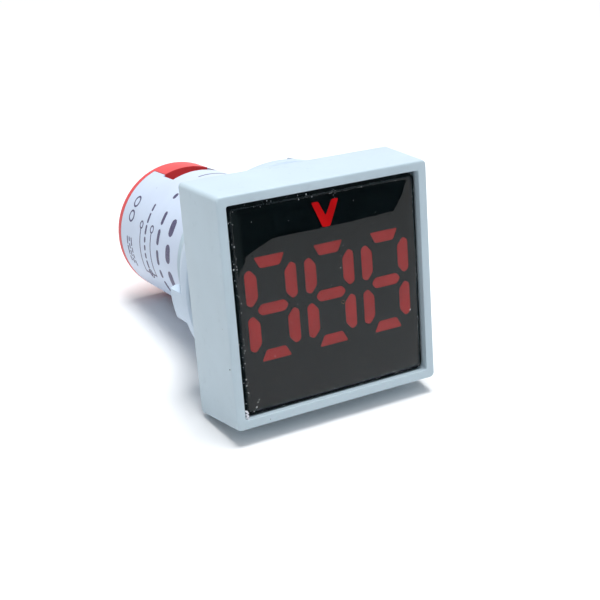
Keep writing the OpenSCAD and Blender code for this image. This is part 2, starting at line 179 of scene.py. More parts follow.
# %% A finish and its nodes
class Finish:
    """A material that is built up from nodes."""

    def __init__(self, name, **constants):
        self.material = bpy.data.materials.new(name)
        self.material.use_nodes = True
        self.tree = self.material.node_tree
        self.tree.nodes.clear()
        self.shader = self.tree.nodes.new("ShaderNodeBsdfPrincipled")
        self.output = self.tree.nodes.new("ShaderNodeOutputMaterial")
        self.tree.links.new(self.shader.outputs[0], self.output.inputs["Surface"])
        self.place = self.node("ShaderNodeTexCoord", out="Object")
        self.set(**constants)

    def node(self, kind, settings=None, sockets=None, out=0):
        made = self.tree.nodes.new(kind)
        for key, value in (settings or {}).items():
            setattr(made, key, value)
        for key, value in (sockets or {}).items():
            self.plug(made.inputs[key], value)
        return Value(self, made.outputs[out])

    def plug(self, socket, value):
        if isinstance(value, Value):
            self.tree.links.new(value.socket, socket)
        elif isinstance(value, tuple) and socket.type == "RGBA":
            socket.default_value = (*value, 1)
        else:
            socket.default_value = value

    def set(self, **values):
        """Fills sockets of the surface shader: base_color stands for Base Color."""
        for name, value in values.items():
            spelled = name.replace("_", " ").title().replace("Ior", "IOR")
            self.plug(self.shader.inputs[spelled], value)

    def stretched(self, x=1.0, y=1.0, z=1.0):
        return self.node("ShaderNodeMapping", None, {"Vector": self.place, "Scale": (x, y, z)})

    def noise(self, size, detail=2.0, place=None):
        """Clouds or grain whose lumps are about this many millimetres across."""
        sockets = {"Vector": place or self.place, "Scale": 1 / (size * MM), "Detail": detail}
        return self.node("ShaderNodeTexNoise", None, sockets)

    def spots(self, spacing, radius, share):
        """Small round spots: 1 inside a spot, 0 outside. Only a share of the cells has one."""
        sockets = {"Vector": self.place, "Scale": 1 / (spacing * MM)}
        distance = self.node("ShaderNodeTexVoronoi", None, sockets)
        luck = self.node("ShaderNodeTexVoronoi", None, sockets, out="Color")
        chosen = self.node("ShaderNodeSeparateColor", None, {0: luck}) < share
        return distance.ramp(radius / spacing, 0.6 * radius / spacing) * chosen

    def mix(self, mask, first, second):
        return self.node("ShaderNodeMix", {"data_type": "RGBA"}, {0: mask, 6: first, 7: second}, out=2)

    def bump(self, height, depth, strength=1.0):
        """Raises and lowers the surface by a height of 0 to 1 times a depth in millimetres."""
        sockets = {"Height": height, "Distance": depth * MM, "Strength": strength}
        return self.node("ShaderNodeBump", None, sockets)

    def axes(self):
        """The place on the object as three numbers in millimetres."""
        scaled = self.stretched(1000, 1000, 1000)
        return [self.node("ShaderNodeSeparateXYZ", None, {0: scaled}, out=i) for i in range(3)]


def shade(tone, k):
    """A tone made lighter or darker."""
    return tuple(min(1.0, part * k) for part in tone)


print("finishes can now be made")

# %% [markdown]
# ## Moulded plastic
#
# The bezel and the nut are moulded in a cool light grey, and the barrel in white. Moulded
# plastic is never one flat tone: it has soft clouds where it cooled unevenly, a fine eroded
# texture from the mould, and in use it picks up dull dust and small dark specks.

# %% Mix the moulded plastics
def moulded(name, tone, rough=0.45, dirt=0.35, grain=0.006):
    finish = Finish(name)
    clouds = finish.noise(9, detail=4)
    streaks = finish.noise(3.5, detail=3, place=finish.stretched(0.25, 1.0, 0.12))
    colour = finish.mix(clouds.ramp(0.3, 0.7), shade(tone, 0.955), shade(tone, 1.02))
    colour = finish.mix(streaks.ramp(0.5, 0.8, 0, 0.35), colour, shade(tone, 0.93))
    film = finish.noise(1.1, detail=5).ramp(0.58, 0.8, 0, dirt)
    colour = finish.mix(film, colour, shade(tone, 0.8))
    specks = finish.spots(1.6, 0.09, 0.1) + finish.spots(3.1, 0.14, 0.12)
    colour = finish.mix(specks * 0.55, colour, (0.13, 0.13, 0.14))
    finish.set(base_color=colour, roughness=rough + film * 0.25 + (clouds - 0.5) * 0.12)
    skin = finish.noise(0.11, detail=2)
    finish.set(normal=finish.bump(skin + specks * 0.8, grain))
    return finish


bezel_grey = moulded("bezel_grey", (0.49, 0.60, 0.67), dirt=0.3)
nut_grey = moulded("nut_grey", (0.50, 0.61, 0.73), rough=0.5, dirt=0.25)
barrel_white = moulded("barrel_white", (0.56, 0.65, 0.80), rough=0.4, dirt=0.12, grain=0.003)
terminal_red = moulded("terminal_red", (0.68, 0.032, 0.038), rough=0.45, dirt=0.2, grain=0.004)
gasket_rubber = moulded("gasket_rubber", (0.035, 0.036, 0.04), rough=0.72, dirt=0.5, grain=0.01)
print("plastics:", bezel_grey.material.name, nut_grey.material.name, barrel_white.material.name)

# %% [markdown]
# ## Metal
#
# Screws and washers are zinc plated, and the threaded plates are brass under nickel. The
# plating is bright, with a fine brushed grain and a dull film in patches, so the roughness
# changes more than the colour does.

# %% Mix the plated metals
def plated(name, tone, rough=0.3):
    finish = Finish(name, metallic=1.0)
    film = finish.noise(0.9, detail=4).ramp(0.4, 0.75)
    brushed = finish.noise(0.12, detail=2, place=finish.stretched(1, 0.15, 1))
    colour = finish.mix(film, tone, shade(tone, 0.72))
    finish.set(base_color=colour, roughness=rough + film * 0.22 + (brushed - 0.5) * 0.15)
    finish.set(normal=finish.bump(brushed, 0.004))
    return finish


zinc = plated("zinc_plating", (0.74, 0.74, 0.72))
nickel = plated("nickel_plating", (0.80, 0.76, 0.66), rough=0.25)
tin = plated("tinned_pins", (0.78, 0.77, 0.74), rough=0.35)
print("metals:", zinc.material.name, nickel.material.name, tin.material.name)

# %% [markdown]
# ## Red segments
#
# Each segment is a window in the black block, filled with red resin that spreads the light
# of the chip below. Unlit, it is a dull red, a little darker where the resin meets the black
# wall. Casting leaves faint clouds in it, which a slow noise gives. Clear resin lies on all
# of it and bends light as much as it does, so these faces have next to no gloss of their own.

# %% Mix the resins
def cast(name, tone, rough=0.5):
    finish = Finish(name, specular_ior_level=0.03)
    clouds = finish.noise(2.4, detail=3)
    dots = finish.spots(0.5, 0.04, 0.25)
    colour = finish.mix(clouds.ramp(0.3, 0.7), shade(tone, 0.9), shade(tone, 1.08))
    colour = finish.mix(dots * 0.3, colour, shade(tone, 1.5))
    finish.set(base_color=colour, roughness=rough + (clouds - 0.5) * 0.1)
    finish.set(normal=finish.bump(clouds, 0.02))
    return finish


segment_red = cast("segment_red", (0.30, 0.017, 0.017))
mark_red = cast("mark_red", (0.60, 0.006, 0.008))
wall_black = cast("wall_black", (0.002, 0.0045, 0.0055), rough=0.55)
print("resins:", segment_red.material.name, mark_red.material.name)

# %% [markdown]
# ## Clear dome
#
# The display is topped with clear resin that was poured on and drew itself into a low dome.
# Clear resin is a glass: it bends and mirrors what the eye sees. Light on its way in would
# pass through it too, but a renderer's lamp rays stop at glass, so a transparent shader takes
# over for every ray that doesn't come straight from the eye.

# %% Mix the clear resin
clear_resin = Finish("clear_resin", transmission_weight=1.0, roughness=0.015, ior=1.4)
clear_resin.set(base_color=(0.93, 0.95, 0.95))
from_eye = clear_resin.node("ShaderNodeLightPath", out="Is Camera Ray")
passing = clear_resin.node("ShaderNodeBsdfTransparent", None, {"Color": (0.97, 0.98, 0.98)})
glassy = Value(clear_resin, clear_resin.shader.outputs[0])
both = clear_resin.node("ShaderNodeMixShader", None, {0: from_eye, 1: passing, 2: glassy})
clear_resin.plug(clear_resin.output.inputs["Surface"], both)
print("clear resin with an index of", clear_resin.shader.inputs["IOR"].default_value)

# %% [markdown]
# ## Making a piece
#
# Every new piece is a closed mesh. It rides on one body of the model, so that it moves with
# it, and it stands for the plain solid that it replaces. Points are in millimetres here, and
# one helper turns them into a mesh in metres.

# %% Turn points and faces into a piece
def finished(mesh, name, body, finish, stands_for=(), slot=None, crisp=32):
    for face in mesh.polygons:
        face.use_smooth = True
    mesh.set_sharp_from_angle(angle=math.radians(crisp))
    mesh.materials.append(finish.material)
    made = bpy.data.objects.new(name, mesh)
    bpy.context.scene.collection.objects.link(made)
    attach(made, body)
    if stands_for:
        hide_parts(*stands_for)
    return made


def piece(name, body, finish, points, faces, **about):
    shape = bmesh.new()
    corners = [shape.verts.new(Vector(p) * MM) for p in points]
    for face in faces:
        shape.faces.new([corners[i] for i in face])
    bmesh.ops.recalc_face_normals(shape, faces=shape.faces)
    mesh = bpy.data.meshes.new(name)
    shape.to_mesh(mesh)
    shape.free()
    return finished(mesh, name, body, finish, **about)


# %% [markdown]
# ## Lofting rings
#
# Most moulded shells can be told as a row of closed rings, each joined to the next. A ring
# is a round square or a circle with the same number of points, so a square wall can run
# smoothly into a round hole. If the last ring joins the first, the shell is closed.

# %% Rings and lofts
CORNER_STEPS, SIDE_STEPS = 8, 10


def square_ring(side, r, y):
    """A round square round the axis, with corners of radius r, at the depth y."""
    ring, flat = [], side / 2 - r
    for quarter in range(4):
        turn = quarter * math.pi / 2
        corner = [(flat + r * math.sin(a), flat + r * math.cos(a)) for a in
                  (math.pi / 2 * i / CORNER_STEPS for i in range(CORNER_STEPS + 1))]
        edge = [(side / 2, flat - 2 * flat * i / SIDE_STEPS) for i in range(1, SIDE_STEPS)]
        for x, z in corner + edge:
            ring.append((x * math.cos(turn) + z * math.sin(turn), y, z * math.cos(turn) - x * math.sin(turn)))
    return ring


def round_ring(r, y, like=None):
    """A circle round the axis whose points stand where the points of another ring do."""
    turns = [math.atan2(x, z) for x, _, z in like or square_ring(2, 0.4, 0)]
    return [(r * math.sin(a), y, r * math.cos(a)) for a in turns]


def loft(rings, closed=False, caps=False):
    """Points and faces of the skin through the rings."""
    count = len(rings[0])
    points = [p for ring in rings for p in ring]
    faces = []
    for i in range(len(rings) if closed else len(rings) - 1):
        j = (i + 1) % len(rings)
        for k in range(count):
            n = (k + 1) % count
            faces.append((i * count + k, i * count + n, j * count + n, j * count + k))
    if caps:
        faces += [tuple(range(count)), tuple(range(len(points) - count, len(points)))]
    return points, faces


# %% [markdown]
# ## Bezel
#
# The bezel is one thin-walled box, wider at the back because it has to leave its mould. Its
# front edge and the edge of the window are rounded by a few rings each: those small radii
# catch the light and are what makes plastic look moulded and not cut.

# %% Mould the bezel
FRONT, DEPTH, WINDOW = 29.0, 9.5, 26.6
REAR = (cad_high.x - cad_low.x) / MM
NECK_R, BORE_R, NECK_END = 10.9, 9.6, 14.0
FLOOR_Y = -1.6


def outer_side(y):
    """Side of the leaning outer wall at the depth y."""
    return FRONT + (REAR - FRONT) * (y + DEPTH) / DEPTH


def rounded_corner(side, y, radius, inward, corner, steps=4):
    """Rings round a small edge radius, from the wall to the front face or back again."""
    rings = []
    for i in range(steps + 1):
        a = math.pi / 2 * i / steps
        rings.append(square_ring(side - inward * 2 * radius * (1 - math.cos(a)), corner,
                                 y + radius * (1 - math.sin(a))))
    return rings


EDGE, LIP, CORNER = 0.24, 0.1, 0.3
bezel_rings = [round_ring(NECK_R - 0.1, FLOOR_Y), round_ring(NECK_R - 0.1, 0)]
bezel_rings += [square_ring(REAR - 0.3, 0.5, 0), square_ring(REAR - 0.08, 0.56, -0.05),
                square_ring(REAR - 0.02, 0.6, -0.2)]
bezel_rings += [square_ring(outer_side(y), 0.6, y) for y in (-3, -6, -8.5)]
bezel_rings += rounded_corner(outer_side(-DEPTH), -DEPTH, EDGE, 1, 0.6)
bezel_rings += rounded_corner(WINDOW, -DEPTH, LIP, -1, CORNER)[::-1]
bezel_rings += [square_ring(WINDOW, CORNER, y) for y in (-8, -5, FLOOR_Y - 0.2)]
bezel_rings += [square_ring(WINDOW - 0.3, CORNER, FLOOR_Y)]
bezel = piece("bezel", "meter_body", bezel_grey, *loft(bezel_rings, closed=True),
              stands_for=("front_housing",), slot="light_grey_plastic")
print("bezel has", len(bezel.data.polygons), "faces")

# %% [markdown]
# Four posts stand on the bezel's floor and carry the display board. Each post is rounded off
# at its front end in a small radius.

# %% Stand the posts on the floor
POST_Y = -2.9
corner_at = WINDOW / 2 - 1.6
for number, (x, z) in enumerate([(1, 1), (-1, 1), (-1, -1), (1, -1)]):
    profile = [(1.2, POST_Y), (1.5, POST_Y + 0.05), (1.58, POST_Y + 0.3), (1.6, FLOOR_Y)]
    rings = [[(px + x * corner_at, py, pz + z * corner_at) for px, py, pz in round_ring(r, y)]
             for r, y in profile]
    piece(f"board_post_{number + 1}", "meter_body", bezel_grey, *loft(rings, caps=True),
          stands_for=("front_housing",), slot="light_grey_plastic")
print("posts stand", round(corner_at, 2), "mm from the axis")

# %% [markdown]
# ## Threaded neck
#
# The neck is moulded with the bezel. A right-hand thread of 1.5 mm pitch winds round it. The
# thread could be a bump, but a bump has no outline, so the ridge is in the mesh: the radius
# of each point follows how far it is from the ridge's middle.

# %% Wind the thread round the neck
PITCH, THREAD_DEPTH, TURN_STEPS = 1.5, 0.42, 96


def thread_radius(turn, y):
    """Radius of the neck at a turn, counted in whole turns, and a depth y."""
    phase = (y / PITCH - turn) % 1.0
    ridge = min(1.0, max(0.0, (0.5 - abs(phase - 0.5)) * 5 - 0.6))
    fade = min(1.0, max(0.0, (y - 1.2) / 0.8)) * min(1.0, max(0.0, (NECK_END - 0.4 - y) / 0.5))
    return NECK_R - THREAD_DEPTH * (1 - ridge) * fade


def neck_ring(y, radius_at):
    ring = []
    for i in range(TURN_STEPS):
        turn = i / TURN_STEPS
        r = radius_at(turn, y)
        ring.append((r * math.sin(2 * math.pi * turn), y, r * math.cos(2 * math.pi * turn)))
    return ring


neck_rings = [neck_ring(FLOOR_Y, lambda t, y: BORE_R), neck_ring(FLOOR_Y, thread_radius)]
depth_steps = 110
neck_rings += [neck_ring(0.2 + (NECK_END - 0.6) * i / depth_steps, thread_radius)
               for i in range(depth_steps + 1)]
neck_rings += [neck_ring(NECK_END, lambda t, y: NECK_R - 0.4), neck_ring(NECK_END, lambda t, y: BORE_R)]
neck = piece("threaded_neck", "meter_body", bezel_grey, *loft(neck_rings, closed=True),
             stands_for=("front_housing",), slot="light_grey_plastic", crisp=50)
print("thread has", round((NECK_END - 1.2) / PITCH, 1), "turns")

# %% [markdown]
# ## Rounded edges on the other parts
#
# The nut, the barrel and the terminals already have their right shape, but their edges are
# knife sharp. A copy of each is cleaned, so that flat areas are single faces, and its edges
# get a small bevel. The copy then stands for the plain solid.

# %% Soften the sharp edges of a part
def softened(node, name, finish, width, slot=None, segments=2):
    shape = bmesh.new()
    shape.from_mesh(nodes[node].data)
    bmesh.ops.remove_doubles(shape, verts=shape.verts, dist=0.0005 * MM)
    bmesh.ops.dissolve_limit(shape, angle_limit=math.radians(0.5), verts=shape.verts, edges=shape.edges)
    mesh = bpy.data.meshes.new(name)
    shape.to_mesh(mesh)
    shape.free()
    body = nodes[node]["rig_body"]
    made = finished(mesh, name, body, finish, stands_for=(node,), slot=slot, crisp=28)
    rounding = made.modifiers.new("rounding", "BEVEL")
    rounding.width = width * MM
    rounding.segments = segments
    rounding.limit_method = "ANGLE"
    rounding.angle_limit = math.radians(28)
    rounding.harden_normals = True
    return made


softened("lock_nut", "ribbed_nut", nut_grey, 0.12, "nut_plastic", 3)
softened("barrel_shell", "white_barrel", barrel_white, 0.1, "white_plastic")
softened("terminal_block", "red_terminal_block", terminal_red, 0.1, "red_plastic")
for place in ("upper", "lower"):
    softened(f"clamp_washer_{place}", f"square_washer_{place}", zinc, 0.08, "plated_steel")
    softened(f"terminal_screw_{place}", f"cheese_head_screw_{place}", zinc, 0.07, "plated_steel")
    softened(f"terminal_plate_{place}", f"threaded_plate_{place}", nickel, 0.05, "plated_brass")

# %% [markdown]
# ## Sealing ring
#
# The ring is dark rubber. A loft of circles through a bulging profile makes its outer edge reach
# about 1.1 mm past the imported gasket into the gap between nut and bezel, where a bevel would
# only round the edge. The thin dark line it makes there is partly the rubber's own colour and
# partly painted shade: it stands in for the shadow in that gap.

# %% Squeeze the sealing ring
ring_low, ring_high = [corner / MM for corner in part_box("gasket")]
# The outer rim reaches 1.1 mm past the imported gasket. It is partly the dark rubber and partly painted
# shade, which stands in for the shadow in the gap between nut and bezel.
rubber_and_shade_rim_r = ring_high.x + 1.1
profile = [(NECK_R + 0.1, ring_low.y), (ring_high.x, ring_low.y), (rubber_and_shade_rim_r - 0.25, ring_low.y + 0.06),
           (rubber_and_shade_rim_r - 0.06, ring_low.y + 0.2), (rubber_and_shade_rim_r, (ring_low.y + ring_high.y) / 2),
           (rubber_and_shade_rim_r - 0.06, ring_high.y - 0.2), (rubber_and_shade_rim_r - 0.25, ring_high.y - 0.06),
           (ring_high.x, ring_high.y), (NECK_R + 0.1, ring_high.y)]
ring_rows = [neck_ring(y, lambda t, depth, r=r: r) for r, y in profile]
piece("sealing_ring_and_gap_shade", nodes["gasket"]["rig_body"], gasket_rubber, *loft(ring_rows, closed=True),
      stands_for=("gasket",), slot="gasket_rubber", crisp=40)
print("ring swells to", round(2 * rubber_and_shade_rim_r, 1), "mm")

# %% [markdown]
# ## Display dome
#
# The poured resin stands a hair below the frame in the middle and falls away to its edges,
# where it curls down. Its edge isn't quite straight, because resin wets the black block
# unevenly, so the rings of the edge are moved in and out a little by a smooth noise.

# %% Pour the dome
DOME_Y, DOME_BACK, DOME_SIDE, FALL = -9.45, -8.71, 25.4, 0.45


def dome_y(x, z):
    reach = DOME_SIDE / math.sqrt(2)
    return DOME_Y + FALL * (x * x + z * z) / reach ** 2


def ragged(x, z, amount):
    """Pulls a point of the edge inwards by an uneven amount."""
    turn = math.atan2(x, z)
    wave = sum(math.sin(turn * k + 1.7 * k * k) / k for k in (7, 13, 29, 47)) * 3
    k = 1 - amount * (0.5 + 0.5 * math.sin(wave)) / math.hypot(x, z)
    return x * k, z * k


dome_rings = []
for sink, inset, uneven in ((DOME_BACK, 0.0, 0.0), (0.26, 0.0, 0.05), (0.12, 0.08, 0.12), (0.04, 0.22, 0.16),
                            (0.0, 0.45, 0.1)):
    ring = []
    for x, _, z in square_ring(DOME_SIDE - 2 * inset, 0.5, 0):
        x, z = ragged(x, z, uneven)
        ring.append((x, DOME_BACK if sink == DOME_BACK else dome_y(x, z) + sink, z))
    dome_rings.append(ring)
for share in (0.92, 0.84, 0.75, 0.65, 0.55, 0.45, 0.35, 0.25, 0.15, 0.07):
    side = (DOME_SIDE - 0.9) * share
    corner = 0.5 * share + (1 - share) * side / 3
    dome_rings.append([(x, dome_y(x, z), z) for x, _, z in square_ring(side, corner, 0)])
dome = piece("clear_dome", "meter_body", clear_resin, *loft(dome_rings, caps=True),
             stands_for=("display_dome",), slot="clear_resin", crisp=60)
print("dome is", round(dome_y(DOME_SIDE / 2, DOME_SIDE / 2) - DOME_Y, 2), "mm lower in its corners")

# %% [markdown]
# ## Dressing the parts that stay as they are
#
# The black block, the segments and the parts inside the barrel keep their solids, and only
# get a finish. A circuit board is green lacquer over copper, which shows as paler tracks. A
# brick pattern with very long bricks gives tracks that run in parallel and end in pads.

# %% Mix the finishes of the boards and chips
def circuit_board(name, wide, high):
    finish = Finish(name)
    x, y, z = finish.axes()
    flat = finish.node("ShaderNodeCombineXYZ", None, {0: high(x, y, z), 1: wide(x, y, z)})
    tracks = finish.node("ShaderNodeTexBrick", {"offset": 0.4},
                         {"Vector": flat, "Scale": 1.0, "Mortar Size": 0.1, "Brick Width": 5.3,
                          "Row Height": 0.9, "Mortar Smooth": 0.1}, out="Fac")
    pads = finish.spots(1.5, 0.35, 0.3)
    lacquer = finish.mix(finish.noise(4).ramp(0.3, 0.7), (0.010, 0.075, 0.032), (0.016, 0.105, 0.045))
    colour = finish.mix(tracks, lacquer, (0.03, 0.17, 0.06))
    colour = finish.mix(pads, colour, (0.62, 0.60, 0.52))
    finish.set(base_color=colour, roughness=0.38 - pads * 0.1, metallic=pads * 0.9)
    finish.set(normal=finish.bump(tracks + pads, 0.02))
    return finish


def epoxy(name, tone, rough=0.5):
    """A moulded or dipped component body: fine matt grain with a few pale scuffs."""
    finish = Finish(name)
    grain = finish.noise(0.15, detail=3)
    scuff = finish.noise(1.3, detail=4, place=finish.stretched(1, 0.3, 2)).ramp(0.6, 0.75, 0, 0.4)
    colour = finish.mix(scuff, finish.mix(grain, shade(tone, 0.85), shade(tone, 1.15)), shade(tone, 1.9))
    finish.set(base_color=colour, roughness=rough + scuff * 0.2, normal=finish.bump(grain, 0.006))
    return finish


display_lacquer = circuit_board("display_board_lacquer", lambda x, y, z: x, lambda x, y, z: z)
power_lacquer = circuit_board("power_board_lacquer", lambda x, y, z: z, lambda x, y, z: y)
chip_black = epoxy("chip_black", (0.022, 0.022, 0.024), 0.6)
chip_cream = epoxy("chip_cream", (0.74, 0.66, 0.48), 0.45)
dipped_red = epoxy("dipped_red", (0.42, 0.045, 0.03), 0.25)
dipped_blue = epoxy("dipped_blue", (0.03, 0.09, 0.30), 0.25)
print("boards:", display_lacquer.material.name, power_lacquer.material.name)

# %% [markdown]
# The capacitor's sleeve has a pale stripe on its negative side and bare aluminium at its
# end, and each resistor has its colour bands. Both follow from the place along the barrel,
# so a comparison with a number is enough of a mask.

# %% Mix the sleeve and the banded coating
def between(value, low, high):
    return (value > low) * (value < high)


sleeve = Finish("capacitor_sleeve")
x, y, z = sleeve.axes()
low, high = [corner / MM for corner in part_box("smoothing_capacitor")]
stripe = between(z, (low.z + high.z) / 2 - 0.9, (low.z + high.z) / 2 + 0.9) * (x > (low.x + high.x) / 2)
can_end = y > high.y - 0.35
scratches = sleeve.noise(0.5, detail=3, place=sleeve.stretched(1, 0.1, 1))
ink = sleeve.mix(stripe, sleeve.mix(scratches, (0.02, 0.024, 0.05), (0.03, 0.035, 0.07)), (0.55, 0.57, 0.62))
sleeve.set(base_color=sleeve.mix(can_end, ink, (0.7, 0.7, 0.7)), metallic=can_end * 1.0)
sleeve.set(roughness=0.3 + scratches * 0.15, normal=sleeve.bump(scratches, 0.01))

banded = Finish("resistor_coating")
x, y, z = banded.axes()
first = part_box("dropper_resistors")[0].y / MM + 1.2
colour = banded.mix(banded.noise(0.4), (0.16, 0.36, 0.50), (0.20, 0.42, 0.56))
BANDS = ((1.1, (0.35, 0.03, 0.02)), (2.2, (0.03, 0.03, 0.03)), (3.1, (0.45, 0.16, 0.02)),
         (4.9, (0.45, 0.30, 0.08)))
for at, tone in BANDS:
    colour = banded.mix(between(y, first + at - 0.25, first + at + 0.25), colour, tone)
wires = (y < first) + (y > first + 6.4)
banded.set(base_color=banded.mix(wires, colour, (0.75, 0.74, 0.7)), metallic=wires * 1.0)
banded.set(roughness=0.35 + banded.noise(0.3) * 0.1, normal=banded.bump(banded.noise(0.3), 0.01))
print("resistor bands start at", round(first, 2), "mm")

# %% Give the parts that stay their finish
dressing = {
    "display_reflector": wall_black, "digit_left": segment_red, "digit_middle": segment_red,
    "digit_right": segment_red, "volt_mark": mark_red, "display_board": display_lacquer,
    "led_chips": chip_cream, "driver_chip": chip_black, "header_body": chip_black, "header_pins": tin,
    "power_board": power_lacquer, "smoothing_capacitor": sleeve, "film_capacitor": dipped_red,
    "bridge_rectifier": chip_black, "voltage_regulator": chip_black, "dropper_resistors": banded,
    "varistor": dipped_blue,
}
for node, finish in dressing.items():
    nodes[node].data.materials.clear()
    nodes[node].data.materials.append(finish.material)
print(len(dressing), "parts dressed")

# %% [markdown]
# ## Print on the barrel
#
# A barrel like this carries its ratings as rows of small print round it. Here the print is
# plain: rows of bars where words would be, two rings, and a little connection drawing of two
# lines that each end in a ring. Every stroke is a thin patch that is wrapped round the
# barrel, so it bends with the wall and keeps a crisp edge.

# %% Wrap strokes round the barrel
BARREL_R = 10.15
ink_points, ink_faces = [], []


def wrapped(u, y, lift):
    """A point on the barrel: u millimetres round it from the top, at the depth y."""
    a = u / BARREL_R
    return ((BARREL_R + lift) * math.sin(a), y, (BARREL_R + lift) * math.cos(a))


def patch(corners):
    """One thin tile of ink, given by its four corners (u, y)."""
    start = len(ink_points)
    ink_points.extend(wrapped(u, y, lift) for lift in (-0.02, 0.018) for u, y in corners)
    for a, b, c, d in ((0, 1, 2, 3), (4, 5, 6, 7), (0, 1, 5, 4), (1, 2, 6, 5), (2, 3, 7, 6), (3, 0, 4, 7)):
        ink_faces.append((start + a, start + b, start + c, start + d))


def stroke(u0, u1, y0, y1):
    """A straight stroke, cut into tiles that are short enough to follow the curve."""
    tiles = max(1, math.ceil(abs(u1 - u0) / 0.5))
    for i in range(tiles):
        a, b = u0 + (u1 - u0) * i / tiles, u0 + (u1 - u0) * (i + 1) / tiles
        patch([(a, y0), (b, y0), (b, y1), (a, y1)])


def disc(u, y, r, hole=0.0, steps=20):
    """A disc of ink, or a ring where it has a hole."""
    for i in range(steps):
        a, b = 2 * math.pi * i / steps, 2 * math.pi * (i + 1) / steps
        patch([(u + q * math.sin(t), y + q * math.cos(t)) for q, t in ((r, a), (r, b), (hole, b), (hole, a))])


def bar(u0, u1, y, thick):
    """A stroke round the barrel with round ends."""
    stroke(u0 + thick / 2, u1 - thick / 2, y - thick / 2, y + thick / 2)
    for end in (u0 + thick / 2, u1 - thick / 2):
        disc(end, y, thick / 2, 0.001, 12)


def bars(y, start, end, thick, longest, seed):
    """A row of bars round the barrel from one angle to another, in degrees from the top."""
    chance = random.Random(seed)
    u, last = math.radians(start) * BARREL_R, math.radians(end) * BARREL_R
    while u > last:
        length = chance.uniform(1.6 * thick, longest)
        bar(u - length, u, y, thick)
        u -= length + thick * chance.uniform(0.5, 0.9)


bars(18.8, -54, -110, 1.5, 3.4, 3)
bars(22.6, -51, -116, 0.8, 2.6, 5)
bars(27.4, -49, -112, 0.5, 2.0, 7)
for y in (32.9, 33.7, 34.5):
    bars(y, -84, -108, 0.34, 1.5, round(y * 10))
for start, y in ((-48, 33.7), (-61, 33.7)):
    disc(math.radians(start - 5) * BARREL_R, y, 0.95, 0.66)
bar(-1.6, 2.9, 25.0, 0.3)
bar(-7.0, -5.9, 23.5, 0.9)
for line_y in (25.3, 29.3):
    stroke(-19.4, -12.9, line_y - 0.11, line_y + 0.11)
    disc(-12.3, line_y, 0.62, 0.4)
stroke(-19.6, -19.35, 25.2, 29.4)
disc(-19.5, 27.3, 0.8, 0.56)
print("print has", len(ink_faces) // 6, "tiles")

# %% [markdown]
# Printing ink on plastic is thin and uneven: the navy is paler where the pad carried less of
# it. A fine noise mixes in a lighter tone, which also breaks up the edges of large strokes.

# %% Ink the print
navy_ink = Finish("navy_ink")
thin = navy_ink.noise(0.22, detail=4).ramp(0.42, 0.75)
navy_ink.set(base_color=navy_ink.mix(thin * 0.3, (0.022, 0.016, 0.085), (0.28, 0.27, 0.45)))
navy_ink.set(roughness=0.42 + thin * 0.1, normal=navy_ink.bump(thin, 0.003))
piece("barrel_print", "meter_body", navy_ink, ink_points, ink_faces, slot="white_plastic")
print("ink:", navy_ink.material.name)

# %% [markdown]
# ## Dust
#
# Dust gathers where a cloth can't reach: along the gap between dome and frame. Each crumb is
# a small lump with uneven corners. They are joined into one piece, since nobody would pick
# them apart, and the random numbers are seeded so that they fall in the same places again.
# A few marks of use are given one by one: a scratch, a dried blob of glue and some amber grit.

# %% Drop crumbs of dust
def crumbs(name, spots, finish, seed):
    chance = random.Random(seed)
    shape = bmesh.new()
    for x, y, z, r in spots:
        lump = bmesh.ops.create_icosphere(shape, subdivisions=1, radius=r * MM)["verts"]
        long = chance.uniform(0.8, 1.9)
        lean = chance.uniform(0, math.pi)
        for v in lump:
            q = v.co * chance.uniform(0.7, 1.15)
            flat = Vector((q.x * long, q.y * 0.45, q.z))
            v.co = Vector((flat.x * math.cos(lean) - flat.z * math.sin(lean), flat.y,
                           flat.x * math.sin(lean) + flat.z * math.cos(lean))) + Vector((x, y, z)) * MM
    mesh = bpy.data.meshes.new(name)
    shape.to_mesh(mesh)
    shape.free()
    return finished(mesh, name, "meter_body", finish, crisp=60)


def on_dome(x, z):
    return dome_y(x, z) + 0.01


chance = random.Random(41)
edge_dust, dark_dust = [], []
inner = DOME_SIDE / 2
for _ in range(150):
    along = chance.uniform(-inner, inner)
    off = inner + chance.uniform(-0.35, 0.3)
    side = chance.choice(("left", "left", "bottom", "bottom", "right", "top"))
    x, z = {"left": (-off, along), "right": (off, along), "bottom": (along, -off), "top": (along, off)}[side]
    y = on_dome(x, z) if max(abs(x), abs(z)) < inner - 0.1 else on_dome(x, z) + 0.28
    edge_dust.append((x, y, z, chance.uniform(0.02, 0.065)))
for _ in range(26):
    x, z = chance.uniform(-12, 12), chance.uniform(-12, 12)
    edge_dust.append((x, on_dome(x, z), z, chance.uniform(0.015, 0.035)))
for _ in range(40):
    along, off = chance.uniform(-13.5, 13.5), chance.uniform(13.35, 14.1)
    x, z = chance.choice(((along, -off), (along, -off), (-off, along), (along, off)))
    dark_dust.append((x, -DEPTH + 0.03, z, chance.uniform(0.015, 0.045)))
scratch = [(0.9, 12.7), (1.1, 12.9), (1.35, 12.7), (1.3, 12.4), (1.05, 12.2), (1.2, 11.9)]
edge_dust += [(x, on_dome(x, z), z, 0.035) for x, z in scratch]
for x, z, r in ((-11.5, -12.1, 0.10), (-11.3, -11.5, 0.06), (-11.1, -11.2, 0.05), (11.3, -4.6, 0.08),
                (1.3, 3.1, 0.07), (-12.6, -9.0, 0.07), (-12.6, -8.2, 0.06), (-12.5, -3.8, 0.05)):
    edge_dust.append((x, on_dome(x, z), z, r))
glue = [(-13.05 + 0.1 * i % 0.3, -9.3, -12.2 - 0.13 * i, 0.16) for i in range(9)]
gold = [(1.35 + 0.24 * math.sin(a), on_dome(1.3, -1.3), -1.35 + 0.2 * math.cos(a), 0.045) for a in range(6)]
